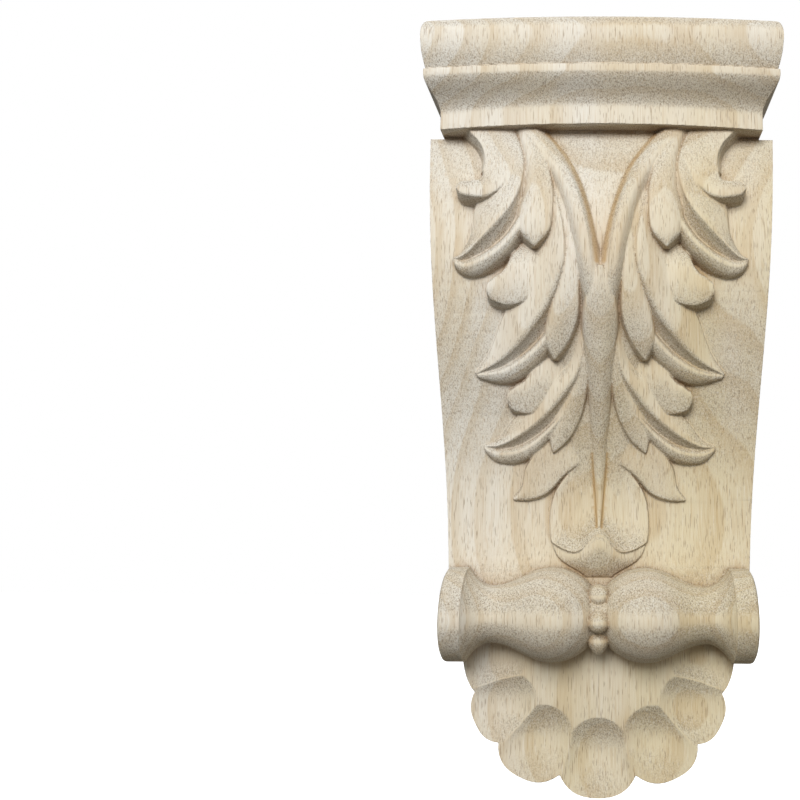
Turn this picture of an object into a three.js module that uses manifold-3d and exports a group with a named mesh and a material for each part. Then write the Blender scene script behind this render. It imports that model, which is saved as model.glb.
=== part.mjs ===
// A carved wood onlay in the pattern of a small corbel: a tapered board with an S-curved front under a bowed
// cap moulding, leaf sprays on a forked stem, a bud, a turned roll with beads, and a scalloped shell plate.
// Millimetres, +Z up, the front faces -Y. The origin is on the flat back, at half height.
import * as THREE from "three";
import { mergeVertices } from "three/addons/utils/BufferGeometryUtils.js";
import Module from "manifold-3d";

const wasm = await Module();
wasm.setup();

// Overall height and the levels that divide it.
const HEIGHT = 300;
const TOP = HEIGHT / 2;
const CAP_UNDERSIDE = 107;
const ROLL_Z = -82.9;

// Board: half widths at two levels, and the wave of its front face.
const BOARD_TOP_HALF = 70;
const BOARD_FOOT_HALF = 58.2;
const BOARD_TOP_Z = 106;
const JOIN_HALF = 64;
const JOIN_DEPTH = 14.8;
const BOARD_FOOT_Z = -66;
const FRONT_MEAN = 14.05;
const FRONT_SWING = 7.45;
const FRONT_CREST_Z = 60;
const FRONT_HALF_WAVE = 105;

// Cap moulding: the plan of its fascia, its bow, and the levels and projections of its mouldings.
const FASCIA_HALF = 64.8;
const CAP_MIDDLE = 26.4;
const FASCIA_BOW = 5;
const TORUS_BOW = 3.8;
const TOP_BOW = 2.8;
const FASCIA_TOP = 113;
const COVE_TOP = 126.5;
const FILLET_TOP = 129;
const FILLET_OUT = 5.9;
const TORUS_OUT = 7.2;
const TORUS_TOP_OUT = 3.6;
const TORUS_FOOT_OUT = 5.6;

// Roll: its axis depth and the radii and stations of one half of its turned outline.
const ROLL_AXIS_DEPTH = 11.5;
const WAIST_R = 10.6;
const BULB_R = 17.3;
const NECK_R = 10.4;
const FLARE = 6.2;
const RIM_R = 17.2;
const WAIST_HALF = 3;
const BULB_X = 17.4;
const BULB_EASE = 0.85;
const NECK_X = 40.6;
const RIM_X = 49.4;
const ROLL_HALF = 57.6;
const RIM_ROUND = 1.6;
const BEAD_OUT = 9.8;
const BEADS = [
  { angle: 50, radius: 4.2, tip: 0 },
  { angle: -7, radius: 4.1, tip: 0 },
  { angle: -57, radius: 4.3, tip: 1.2 },
];

// Shell: the centre of the fan, the angles of its notches from straight down, and its scoops.
const SHELL_Z = -93;
const BACKING_HALF = 50;
const BACKING_FOOT_HALF = 5;
const BACKING_DEPTH = 8.3;
const SHELL_NOTCHES = [16.2, 44.8, 67.4, 96];
const SHELL_NOTCH_R = [50.8, 53.2, 50.9, 50.4];
const SHELL_SWELL = [TOP + SHELL_Z - SHELL_NOTCH_R[0], 5.8, 3.9, 1.8];
const SHELL_DEPTH = 8.4;
const SHELL_FALL = 0.9;
const GOUGE_ANGLES = [0, 30.5, 56.1, 81.7];
const GOUGE_START = [28, 29.2, 30, 27];
const GOUGE_DEPTH = 3.2;
const GOUGE_END = 13.5;
const GOUGE_HALF = 12.2;
const GOUGE_OPENING = 0.3;
const GOUGE_RUN_OUT = 17;

// Relief: how far every leaf is sunk into the board, and the lean of the leaf walls.
const SINK = 3;
const DRAFT = 0.4;
const COVE_SPREAD = 1.35;
const SMALLEST_STEP = 0.05;

const lerp = (a, b, t) => a + (b - a) * t;
const clamp01 = (t) => Math.min(1, Math.max(0, t));
const smooth = (t) => clamp01(t) ** 2 * (3 - 2 * clamp01(t));

// A list of numbers read as evenly spaced knots, eased from one to the next.
const knots = (list, t) => {
  const u = clamp01(t) * (list.length - 1);
  const i = Math.min(list.length - 2, Math.floor(u));
  const at = (k) => list[Math.min(list.length - 1, Math.max(0, k))];
  const f = u - i;
  const m0 = (at(i + 1) - at(i - 1)) / 2;
  const m1 = (at(i + 2) - at(i)) / 2;
  const f2 = f * f;
  const f3 = f2 * f;
  return (2 * f3 - 3 * f2 + 1) * at(i) + (f3 - 2 * f2 + f) * m0
    + (3 * f2 - 2 * f3) * at(i + 1) + (f3 - f2) * m1;
};

const knotsAt = (points, t) => [0, 1].map((k) => knots(points.map((p) => p[k]), t));

// Depth of the board's front at a level, and a point of the relief at a height above that front.
const front = (z) =>
  FRONT_MEAN + FRONT_SWING * Math.cos((Math.PI * (FRONT_CREST_Z - z)) / FRONT_HALF_WAVE);
const point = (x, depth, z) => new THREE.Vector3(x, -depth, z);
const onFront = ([x, z, h]) => point(x, front(z) + h, z);

// A closed solid through a row of loops that all have the same number of points.
function skin(loops) {
  const n = loops[0].length;
  const positions = loops.flat().flatMap((p) => [p.x, p.y, p.z]);
  const index = [];
  for (let j = 0; j + 1 < loops.length; j += 1) {
    for (let i = 0; i < n; i += 1) {
      const a = j * n + i;
      const b = j * n + ((i + 1) % n);
      index.push(a, b, b + n, a, b + n, a + n);
    }
  }
  const last = (loops.length - 1) * n;
  for (let i = 1; i + 1 < n; i += 1) {
    index.push(0, i + 1, i, last, last + i, last + i + 1);
  }
  const shape = new THREE.BufferGeometry();
  shape.setAttribute("position", new THREE.Float32BufferAttribute(positions, 3));
  shape.setIndex(index);
  return solid(shape);
}

// A three.js shape as a manifold solid that faces out.
function solid(shape) {
  shape.deleteAttribute("normal");
  shape.deleteAttribute("uv");
  const merged = mergeVertices(shape, 1e-4);
  const index = [];
  const source = merged.index.array;
  for (let i = 0; i < source.length; i += 3) {
    const [a, b, c] = [source[i], source[i + 1], source[i + 2]];
    if (a !== b && b !== c && a !== c) index.push(a, b, c);
  }
  const made = (order) =>
    new wasm.Manifold(
      new wasm.Mesh({
        numProp: 3,
        vertProperties: merged.attributes.position.array,
        triVerts: new Uint32Array(order),
      }),
    );
  const body = made(index);
  return body.volume() > 0 ? body : made(index.reverse());
}

// A leaf: rails(t) lists the points of its top from one edge to the other, each with its place across and up
// the board and its height above it. The walls lean out as they go down and end inside the board.
function leaf(rails, steps) {
  const foot = (edge, inner) => {
    const [dx, dz] = [edge[0] - inner[0], edge[1] - inner[1]];
    const run = (DRAFT * (edge[2] + SINK)) / Math.max(1e-6, Math.hypot(dx, dz));
    return [edge[0] + dx * run, edge[1] + dz * run, -SINK];
  };
  const loops = [];
  for (let j = 0; j <= steps; j += 1) {
    const top = rails(j / steps);
    const all = [foot(top[0], top[1]), ...top, foot(top[top.length - 1], top[top.length - 2])];
    loops.push(all.map(onFront));
  }
  return skin(loops);
}

// Rails from a curved spine: across(t) lists offsets from the spine with the height of each.
// Positive offsets lie on the outer, upper side of a spine that runs down and out.
function along(spine, across) {
  return (t) => {
    const [x, z] = knotsAt(spine, t);
    const a = knotsAt(spine, Math.max(0, t - 1e-3));
    const b = knotsAt(spine, Math.min(1, t + 1e-3));
    const length = Math.hypot(b[0] - a[0], b[1] - a[1]);
    const nx = -(b[1] - a[1]) / length;
    const nz = (b[0] - a[0]) / length;
    return across(t).map(([off, h]) => [x + nx * off, z + nz * off, h]);
  };
}

// A long blade with a crest, a scooped drop behind the crest, and a rolled lip.
const sickle = ({ spine, blade, crest, edge, drop, lip, lipRise }) =>
  along(spine, (t) => {
    const w = knots(blade, t);
    const top = knots(crest, t);
    const low = knots(edge, t);
    const d = knots(drop, t);
    const l = knots(lip, t);
    const rise = knots(lipRise, t);
    const valley = top - 0.95 * d;
    const cove = COVE_SPREAD * d;
    const roll = l - (COVE_SPREAD - 1) * d;
    return [
      [w, low],
      [0.62 * w, lerp(low, top, 0.5)],
      [0.25 * w, lerp(low, top, 0.88)],
      [0, top],
      [-0.5 * cove, lerp(valley, top, 0.32)],
      [-cove, valley],
      [-cove - 0.2 * roll, valley + 0.8 * rise],
      [-cove - 0.5 * roll, valley + rise],
      [-cove - 0.8 * roll, valley + 0.6 * rise],
      [-cove - roll, valley - 0.2 * rise],
    ];
  });

// A plain leaf end: half widths on both sides of its spine, a crowned top, and the fall of its outer edge.
const tongue = ({ spine, outer, inner, height, fall, crown }) =>
  along(spine, (t) => {
    const a = knots(outer, t);
    const b = knots(inner, t);
    const h = knots(height, t);
    const f = knots(fall, t);
    return [
      [a, h - crown - f],
      [0.6 * a, h - 0.25 * crown - 0.35 * f],
      [-0.6 * b, h - 0.2 * crown],
      [-b, h - crown],
    ];
  });

// Leaf sprays of one side, from the top down. Every list runs in even steps from the root to the tip.
const SICKLES = [
  {
    spine: [
      [37, 110], [31.4, 95], [31.6, 83], [35.1, 73.2], [40.5, 65.5], [47, 58.6], [53, 53.6], [57.4, 52.6],
    ],
    blade: [14, 14, 14, 14, 11.5, 4.9, 1.9, 0.5],
    crest: [6, 6.4, 6.8, 6.8, 6.4, 5.2, 3.4, 1.8],
    edge: [4, 3.4, 3, 2.6, 2.2, 2, 1.6, 1.2],
    drop: [0.8, 1.4, 2, 3, 3.7, 3, 1.4, 0.2],
    lip: [4, 4, 5, 6.4, 7.6, 8.5, 7.4, 1.7],
    lipRise: [0.6, 0.8, 1.2, 2, 2.8, 2.6, 1.5, 0.2],
  },
  {
    spine: [[25.4, 96], [18.6, 80], [15, 65], [14.6, 50], [19.5, 35.4], [28, 23], [38, 13.6], [48.4, 8.6]],
    blade: [1, 4, 8, 13, 14, 12.4, 7, 0.5],
    crest: [5, 6.2, 7.6, 8.2, 7.3, 6, 4, 1.2],
    edge: [4.8, 4.2, 3, 2.4, 1.8, 1.3, 0.9, 0.6],
    drop: [0, 0.2, 0.9, 2.6, 3.1, 3.1, 1.8, 0.2],
    lip: [0.8, 1.2, 2.4, 4.6, 6.6, 8.2, 7.8, 1.5],
    lipRise: [0, 0, 0.2, 1, 2, 2.5, 1.5, 0.2],
  },
  {
    spine: [
      [7.5, 32], [6.4, 20], [8.4, 8.7], [15, -1], [23, -9.5], [32, -15.9], [39.5, -19.2], [45.3, -19.3],
    ],
    blade: [0.6, 3, 6, 10, 8.5, 6.2, 2.7, 0.4],
    crest: [4.4, 6, 6.4, 5.8, 5, 4, 2.4, 0.9],
    edge: [3.8, 3.8, 2.8, 2, 1.4, 0.9, 0.6, 0.4],
    drop: [0.4, 0.8, 1.5, 2.2, 2.6, 2.4, 1.1, 0.2],
    lip: [1, 2, 3, 4.4, 5.2, 7, 5.7, 1.3],
    lipRise: [0.2, 0.4, 0.8, 1.2, 1.6, 1.8, 1.1, 0.2],
  },
];
const TONGUES = [
  {
    spine: [
      [46, 113], [41.2, 103.5], [39, 94.5], [40.6, 85.6],
      [45.4, 81], [50.6, 80.2], [54.8, 80.8], [56.8, 80.9],
    ],
    outer: [9.8, 7.6, 6.9, 6.2, 3.9, 3.4, 2.7, 0.6],
    inner: [9, 7.2, 7.4, 4.6, 4.3, 3.5, 2.7, 0.6],
    height: [6.6, 6.6, 6.6, 6.4, 6.4, 6.4, 6, 5.4],
    fall: [0, 0],
    crown: 0.6,
  },
  {
    spine: [[32.5, 110], [26.7, 96], [24.6, 82], [24.6, 71], [25.2, 62], [25.4, 56]],
    outer: [3, 4.3, 5.7, 7.4, 5.8, 0.3],
    inner: [3, 3.8, 5.4, 5.9, 5.2, 0.3],
    height: [7.2, 7.6, 8, 8.1, 7.8, 7],
    fall: [1.6, 2.4, 3, 3, 1.8, 0.3],
    crown: 0.5,
  },
  {
    spine: [[20, 52], [28, 44.5], [35, 41], [40, 40], [43, 39.9], [43.9, 39.9]],
    outer: [12, 11, 6.8, 4.8, 2.8, 0.5],
    inner: [4, 7, 7, 5.1, 2.6, 0.5],
    height: [3.2, 4.7, 5, 5, 4.8, 4.4],
    fall: [1.4, 1.2, 0.6, 0.2, 0, 0],
    crown: 0.4,
  },
  {
    spine: [[11.6, 68], [10.9, 55], [11.6, 43], [13.6, 30], [16.2, 19.6], [17.4, 13.2]],
    outer: [1, 2.8, 4.6, 6, 4.6, 0.3],
    inner: [1, 2, 3.4, 5, 3.6, 0.3],
    height: [6.6, 8, 8.4, 8.2, 7.4, 6.4],
    fall: [0.4, 1.4, 2, 2, 1, 0],
    crown: 0.5,
  },
  {
    spine: [[13, 14], [20, 5], [26.5, 0.5], [32, -1], [35.2, -1], [36.1, -1]],
    outer: [9, 8, 5.8, 4.4, 2.6, 0.5],
    inner: [4, 5, 7, 5.4, 2.6, 0.5],
    height: [2.6, 4.1, 4.2, 4, 3.6, 3.2],
    fall: [1.2, 1, 0.6, 0.2, 0, 0],
    crown: 0.3,
  },
  {
    spine: [[5.6, 26], [5.8, 14], [7.6, 2.6], [11, -7.4], [15, -15.6], [18, -21.8]],
    outer: [0.6, 1.8, 3.6, 5.4, 5, 0.3],
    inner: [0.6, 1.4, 2.6, 3.6, 3, 0.3],
    height: [5, 6.2, 6, 5.2, 4.4, 3.6],
    fall: [0, 0.6, 1.2, 1.6, 0.8, 0],
    crown: 0.4,
  },
  {
    spine: [[4, -8], [11, -19], [17.5, -27], [24, -33], [29, -37], [33.6, -40]],
    outer: [6, 8, 9, 7, 2.2, 0.3],
    inner: [5, 7, 5, 5.6, 3.6, 0.3],
    height: [2.4, 2.4, 2.6, 2.3, 1.9, 1.2],
    fall: [0, 0],
    crown: 0.3,
  },
];

// Half widths of the bud at evenly spaced levels from its top to its foot, and the line of its lip.
const BUD_TOP = -24;
const BUD_FOOT = -69.4;
const BUD_HALF = [6, 12.6, 17, 18.7, 19, 18.2, 14.8, 5];
const BUD_PEAK_H = 6.4;
const BUD_LIP_H = 4.4;
const BUD_SIDE_H = 1.8;
const budLip = (s) => -61.2 + 8.6 * Math.exp(-((s * 2.9) ** 2)) + 5 * Math.abs(s) ** 3;

// A block on the back plane, from rows of a level, a half width and a depth.
const block = (rows) =>
  skin(rows.map(([z, w, d]) => [point(-w, 0, z), point(-w, d, z), point(w, d, z), point(w, 0, z)]));

function board() {
  const steps = 30;
  const rows = [];
  for (let j = 0; j <= steps; j += 1) {
    const z = lerp(ROLL_Z, BOARD_TOP_Z, j / steps);
    const half = lerp(BOARD_FOOT_HALF, BOARD_TOP_HALF, (z - BOARD_FOOT_Z) / (BOARD_TOP_Z - BOARD_FOOT_Z));
    rows.push([z, half, front(z)]);
  }
  return block(rows);
}

// The join ties the board to the cap, and the backing closes the flat back behind the roll.
const join = () =>
  block([
    [BOARD_TOP_Z - 1, JOIN_HALF, JOIN_DEPTH],
    [CAP_UNDERSIDE + 1, JOIN_HALF, JOIN_DEPTH],
  ]);
const backing = () =>
  block([
    [SHELL_Z - 0.6, BACKING_FOOT_HALF, BACKING_DEPTH],
    [SHELL_Z + 1, BACKING_HALF, BACKING_DEPTH],
    [ROLL_Z + 1, BACKING_HALF, BACKING_DEPTH],
  ]);

// How far the cap's moulding stands out past the fascia at a level.
function capOut(z) {
  if (z <= FASCIA_TOP) return 0;
  if (z <= COVE_TOP) return FILLET_OUT * smooth((z - FASCIA_TOP) / (COVE_TOP - FASCIA_TOP));
  if (z < FILLET_TOP) return FILLET_OUT;
  const u = (2 * (z - FILLET_TOP)) / (TOP - FILLET_TOP) - 1;
  const end = u < 0 ? TORUS_FOOT_OUT : TORUS_TOP_OUT;
  return lerp(end, TORUS_OUT, Math.sqrt(Math.max(0, 1 - Math.abs(u) ** 2.6)));
}

// The plan's bow is deepest at the fascia and shrinks towards the top.
function capBow(z) {
  if (z <= FILLET_TOP) {
    return lerp(FASCIA_BOW, TORUS_BOW, clamp01((z - FASCIA_TOP) / (FILLET_TOP - FASCIA_TOP)));
  }
  return lerp(TORUS_BOW, TOP_BOW, (z - FILLET_TOP) / (TOP - FILLET_TOP));
}

function cap() {
  const spread = (a, b, n) => Array.from({ length: n + 1 }, (_, i) => lerp(a, b, i / n));
  const round = Array.from({ length: 11 }, (_, i) => -Math.cos((Math.PI * i) / 10));
  const levels = [
    CAP_UNDERSIDE,
    ...spread(FASCIA_TOP, COVE_TOP, 6),
    FILLET_TOP - 0.02,
    ...round.map((u) => lerp(FILLET_TOP, TOP, (u + 1) / 2)),
  ];
  const columns = 12;
  const loops = levels.map((z) => {
    const out = capOut(z);
    const x = FASCIA_HALF + out;
    const plan = [point(-x, 0, z)];
    for (let i = 0; i <= columns; i += 1) {
      const s = (2 * i) / columns - 1;
      plan.push(point(s * x, CAP_MIDDLE + out - capBow(z) * s * s, z));
    }
    plan.push(point(x, 0, z));
    return plan;
  });
  return skin(loops);
}

// Radius of the roll at a distance from its middle.
function rollR(x) {
  if (x <= WAIST_HALF) return WAIST_R;
  if (x <= BULB_X) {
    const u = (BULB_X - x) / (BULB_X - WAIST_HALF);
    return WAIST_R + (BULB_R - WAIST_R) * Math.max(0, 1 - u * u) ** BULB_EASE;
  }
  if (x <= NECK_X) {
    const u = (x - BULB_X) / (NECK_X - BULB_X);
    return lerp(BULB_R, NECK_R, 0.5 - 0.5 * Math.cos(Math.PI * u));
  }
  if (x < RIM_X) return NECK_R + FLARE * ((x - NECK_X) / (RIM_X - NECK_X)) ** 2;
  const over = Math.max(0, x - (ROLL_HALF - RIM_ROUND)) / RIM_ROUND;
  return RIM_R - RIM_ROUND * (1 - Math.sqrt(Math.max(0, 1 - over * over)));
}

function roll() {
  const sides = 22;
  const stations = [];
  const add = (from, to, n) => {
    for (let i = 0; i < n; i += 1) stations.push(lerp(from, to, i / n));
  };
  add(0, WAIST_HALF, 1);
  for (let i = 0; i < 6; i += 1) {
    stations.push(lerp(WAIST_HALF, BULB_X, 1 - Math.cos((Math.PI * i) / 12)));
  }
  add(BULB_X, NECK_X, 7);
  add(NECK_X, RIM_X, 3);
  stations.push(RIM_X - 0.01, RIM_X, ROLL_HALF - RIM_ROUND, ROLL_HALF - 0.3 * RIM_ROUND, ROLL_HALF);
  const half = stations.slice(1);
  const xs = [...half.map((x) => -x).reverse(), 0, ...half];
  const loops = xs.map((x) =>
    Array.from({ length: sides }, (_, i) => {
      const a = (2 * Math.PI * i) / sides;
      const r = rollR(Math.abs(x));
      return point(x, ROLL_AXIS_DEPTH + r * Math.cos(a), ROLL_Z + r * Math.sin(a));
    }),
  );
  const behind = new THREE.BoxGeometry(200, 60, 200);
  behind.translate(0, 30, ROLL_Z);
  return skin(loops).subtract(solid(behind));
}

// A bead is a ball, drawn out downwards to a blunt tip.
function bead({ angle, radius, tip }) {
  const a = THREE.MathUtils.degToRad(angle);
  const ball = new THREE.SphereGeometry(radius, 14, 9);
  ball.rotateX(Math.PI / 2);
  const place = ball.attributes.position;
  for (let i = 0; i < place.count; i += 1) {
    const below = Math.max(0, -place.getZ(i)) / radius;
    place.setX(i, place.getX(i) * (1 - 0.2 * tip * below ** 2));
    place.setZ(i, place.getZ(i) - tip * below ** 3);
  }
  ball.translate(0, -(ROLL_AXIS_DEPTH + BEAD_OUT * Math.cos(a)), ROLL_Z + BEAD_OUT * Math.sin(a));
  return solid(ball);
}

// Depth that the deepest gouge cut takes off the shell at a radius and an angle from straight down.
function gouged(r, angle) {
  let deepest = 0;
  GOUGE_ANGLES.forEach((turn, k) => {
    for (const way of [-1, 1]) {
      const away = THREE.MathUtils.degToRad(angle - way * turn);
      const run = r * Math.cos(away) - GOUGE_START[k] - GOUGE_END;
      const half = GOUGE_HALF + GOUGE_OPENING * Math.max(0, run);
      const bowl = 1 - ((r * Math.sin(away)) / half) ** 2 - (Math.min(0, run) / GOUGE_END) ** 2;
      const shallower = 1 - 0.9 * (Math.max(0, run) / GOUGE_RUN_OUT) ** 1.3;
      deepest = Math.max(deepest, GOUGE_DEPTH * bowl * shallower);
    }
  });
  return deepest;
}

// The shell plate: a flat field ringed by gouge cuts that end at a scalloped rim.
function shell() {
  const columns = 8;
  const rows = [1, 0.9, 0.79, 0.7, 0.62, 0.55, 0.48, 0.4];
  const ray = (angle, u, notch, swell) => {
    const a = THREE.MathUtils.degToRad(angle);
    const rim = notch + swell * (1 - Math.abs(u) ** 2.9);
    const at = (r, depth) => point(r * Math.sin(a), depth, SHELL_Z - r * Math.cos(a));
    const scooped = rows.map((f) => {
      const r = f * rim;
      return at(r, SHELL_DEPTH - gouged(r, angle) - SHELL_FALL * smooth((r - 24) / 28));
    });
    return [at(0, 0), at(rim, 0), ...scooped, at(0, SHELL_DEPTH)];
  };
  const rays = [];
  const scallop = (from, to, notches, swell, first) => {
    for (let i = first; i <= columns; i += 1) {
      const f = i / columns;
      rays.push(ray(lerp(from, to, f), 2 * f - 1, lerp(notches[0], notches[1], f), swell));
    }
  };
  const last = SHELL_NOTCHES.length - 1;
  for (let k = last; k > 0; k -= 1) {
    const ends = [SHELL_NOTCH_R[k], SHELL_NOTCH_R[k - 1]];
    scallop(-SHELL_NOTCHES[k], -SHELL_NOTCHES[k - 1], ends, SHELL_SWELL[k], k === last ? 0 : 1);
  }
  scallop(-SHELL_NOTCHES[0], SHELL_NOTCHES[0], [SHELL_NOTCH_R[0], SHELL_NOTCH_R[0]], SHELL_SWELL[0], 1);
  for (let k = 1; k <= last; k += 1) {
    const ends = [SHELL_NOTCH_R[k - 1], SHELL_NOTCH_R[k]];
    scallop(SHELL_NOTCHES[k - 1], SHELL_NOTCHES[k], ends, SHELL_SWELL[k], 1);
  }
  return skin(rays);
}

// The swelling of the board under the leaves, and the panel in the fork of the stem.
const mound = (t) => {
  const z = lerp(CAP_UNDERSIDE + 1, -38, t);
  const half = knots([40, 32, 22, 19, 18, 16, 11], t);
  const h = knots([5.2, 5.6, 6, 5.6, 4.4, 3.4, 1.4], t);
  return [-1, -0.75, -0.4, 0.4, 0.75, 1].map((s) => [s * half, z, h * (1 - 0.7 * s ** 4)]);
};
const FORK_FOOT = 54;
const forkPanel = (t) => {
  const z = lerp(CAP_UNDERSIDE + 1, FORK_FOOT, t);
  const half = knots([30, 17, 9, 4.4, 2], t);
  const h = lerp(4.4, 6, t);
  return [-1, -0.4, 0.4, 1].map((s) => [s * half, z, h]);
};

// A branch of the stem: a soft outer valley, a flat top, and a bevel down to the panel on the fork side.
const BRANCH = [
  [35.5, 117], [26.3, 104.4], [17.8, 93], [12.2, 82], [8.6, 70.6], [6.2, 59], [4.6, 47.4], [3.2, 36], [2, 25],
];
const branch = along(BRANCH, (t) => {
  const w = knots([6, 5.8, 5.5, 5.2, 5, 5, 4.8, 4, 2.6], t);
  const high = knots([7.4, 7.8, 8.4, 9.2, 10.1, 10.8, 11, 10.3, 7.8], t);
  const valley = knots([5.4, 5.8, 6.2, 6.5, 6.8, 7, 7, 6.6, 5.6], t);
  const foot = knots([4, 4.1, 4.4, 4.9, 5.4, 6.2, 9.3, 10.1, 7.6], t);
  return [
    [1.3 * w, valley - 0.9],
    [1.02 * w, valley - 0.3],
    [0.62 * w, lerp(valley, high, 0.62)],
    [0.3 * w, high - 0.15],
    [-0.28 * w, high - 0.1],
    [-1.04 * w, foot - 0.3],
    [-1.1 * w, foot - 1.2],
  ];
});

// The stalk below the fork is a rounded ridge, and a narrow keel carries it on over the bud.
const stalk = (t) => {
  const w = knots([2, 5.2, 6.4, 6.2, 5.4, 4.6, 3.8, 3, 2.2, 1.3], t);
  const high = knots([9.8, 10.9, 10.9, 10.2, 9, 7.6, 6.2, 4.8, 3.8, 3.2], t);
  const fall = knots([1, 1.8, 2.8, 3.8, 4.2, 3.8, 2.8, 2, 1.4, 0.8], t);
  return [1, 0.75, 0.4, 0, -0.4, -0.75, -1].map((s) => {
    const drop = 1 - Math.max(0, Math.cos((s * Math.PI) / 2)) ** 0.65;
    return [s * w, lerp(45, -36, t), high - fall * drop];
  });
};
const keel = (t) => {
  const w = knots([2.5, 1.9, 1.2, 0.6], t);
  const high = knots([3.6, 3.1, 3.3, 4.7], t);
  return [1, 0, -1].map((s) => [s * w, lerp(-22, -50.5, t), high - 0.5 * s * s]);
};

// The bud: a dished petal that ends in a lip with a peak at its middle, and a rounded underside.
function bud() {
  const across = 14;
  const petal = 7;
  const under = 5;
  const half = (z) => knots(BUD_HALF, (BUD_TOP - z) / (BUD_TOP - BUD_FOOT));
  const loops = [];
  for (let j = 0; j <= petal + under; j += 1) {
    const top = [];
    for (let i = 0; i <= across; i += 1) {
      const s = (2 * i) / across - 1;
      const lipZ = budLip(s);
      const peak = Math.exp(-((s * 3.2) ** 2));
      const lipH = lerp(BUD_LIP_H, BUD_SIDE_H, s * s) + (BUD_PEAK_H - BUD_LIP_H) * peak;
      const u = Math.min(1, j / petal);
      const v = Math.max(0, (j - petal) / under);
      const start = 2 - 0.5 * s * s;
      const dish = 2.6 * Math.abs(s) * (1 - s * s) * Math.sin(Math.PI * u);
      const nose = 1.6 * Math.exp(-((s * 2.6) ** 2)) * Math.sin(Math.PI * v ** 0.7);
      const z = j <= petal ? lerp(BUD_TOP, lipZ, 1 - (1 - u) ** 1.3) : lerp(lipZ, BUD_FOOT, v ** 1.15);
      const h = j <= petal
        ? lerp(start, lipH, u ** 5) - dish
        : lerp(0.4, lipH, (1 - v ** 1.3) ** 0.7) + nose;
      top.push([s * half(z), z, h]);
    }
    const foot = (p) => [p[0] * 1.04, p[1], -SINK];
    loops.push([foot(top[0]), ...top, foot(top[across])].map(onFront));
  }
  return skin(loops);
}

const flip = (rails) => (t) => rails(t).map(([x, z, h]) => [-x, z, h]);
const pieces = [board(), join(), cap(), roll(), backing(), shell(), bud(), ...BEADS.map(bead)];
pieces.push(leaf(mound, 12), leaf(forkPanel, 7), leaf(stalk, 13), leaf(keel, 4));
for (const turn of [(rails) => rails, flip]) {
  pieces.push(leaf(turn(branch), 12));
  for (const s of SICKLES) pieces.push(leaf(turn(sickle(s)), 14));
  for (const s of TONGUES) pieces.push(leaf(turn(tongue(s)), 2 * s.spine.length - 2));
}
const carved = pieces.reduce((a, b) => a.add(b)).simplify(SMALLEST_STEP);

const mesh = carved.getMesh();
const shape = new THREE.BufferGeometry();
shape.setAttribute("position", new THREE.BufferAttribute(mesh.vertProperties, 3));
shape.setIndex(new THREE.BufferAttribute(mesh.triVerts, 1));
const wood = new THREE.MeshStandardMaterial({ color: 0xdcc9a6, roughness: 0.7 });
const onlay = new THREE.Mesh(shape, wood);
onlay.name = "carved_onlay";

const group = new THREE.Group();
group.add(onlay);
export default group;
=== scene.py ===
# %% [markdown]
# # A carved wood onlay
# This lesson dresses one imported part: a flat-backed ornament carved from a single block of pale hardwood.
# A tapered board with an S-curved front hangs under a bowed cap moulding. Leaf sprays grow from a forked
# stem, a bud closes the stem, a turned roll with beads crosses below it, and a scalloped shell plate ends the
# foot.
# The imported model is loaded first. It is the fixed frame that every shape below keeps to, in metres, with
# +Z up, the front facing -Y and the flat back on the plane y = 0.

# %% Load the frame
import math

import bpy
import numpy as np
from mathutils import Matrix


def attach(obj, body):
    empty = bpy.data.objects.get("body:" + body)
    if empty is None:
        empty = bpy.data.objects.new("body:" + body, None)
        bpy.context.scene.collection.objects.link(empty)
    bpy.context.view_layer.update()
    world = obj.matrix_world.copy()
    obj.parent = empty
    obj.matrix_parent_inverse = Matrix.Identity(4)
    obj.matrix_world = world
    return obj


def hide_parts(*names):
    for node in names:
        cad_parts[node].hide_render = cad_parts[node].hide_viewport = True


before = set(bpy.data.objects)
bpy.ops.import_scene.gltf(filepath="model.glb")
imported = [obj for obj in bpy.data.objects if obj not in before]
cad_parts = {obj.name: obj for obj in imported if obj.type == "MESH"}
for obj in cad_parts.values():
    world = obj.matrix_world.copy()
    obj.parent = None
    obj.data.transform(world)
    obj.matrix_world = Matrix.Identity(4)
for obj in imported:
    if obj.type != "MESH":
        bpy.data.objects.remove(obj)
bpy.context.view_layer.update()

MM = 0.001

# %% [markdown]
# ## Camera, light and floor
# The photograph was taken with a phone from about 30 cm, a little below the middle of the onlay and looking
# slightly up, so the lines run together quickly towards the top. A long lens would flatten that. The camera
# stands at that distance, and its frame is shifted so that the onlay sits in the right half of the picture.

# %% Camera
CAMERA_PLACE = (2.2, -291.7, -40.1)
CAMERA_PITCH = 7.94
CAMERA_YAW = 0.39
CAMERA_ROLL = -0.34
FOCAL_IN_PIXELS = 718.1
PICTURE_WIDTH = 800
FRAME_SHIFT = -0.25
SENSOR_WIDTH = 36.0
NEAREST_SEEN = 0.01

bpy.ops.object.select_all(action="DESELECT")
bpy.ops.object.camera_add(
    location=[v * MM for v in CAMERA_PLACE],
    rotation=(math.radians(90 + CAMERA_PITCH), math.radians(CAMERA_ROLL), math.radians(CAMERA_YAW)),
)
camera = bpy.context.object
camera.name = "camera"
camera.data.sensor_width = SENSOR_WIDTH
camera.data.lens = SENSOR_WIDTH * FOCAL_IN_PIXELS / PICTURE_WIDTH
camera.data.shift_x = FRAME_SHIFT
camera.data.clip_start = NEAREST_SEEN
bpy.context.scene.camera = camera
print("lens", round(camera.data.lens, 2), "mm")

# %% [markdown]
# The light in the picture is soft daylight from above and a little to the left: every overhang has a dark
# underside and a blurred shadow right below it. One large area lamp gives that, a weaker warm one on the
# right keeps the other side open, and a white surround fills the rest. The floor is plain and pale, and lies
# well below the onlay, which is made to be fixed to an upright face.

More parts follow.
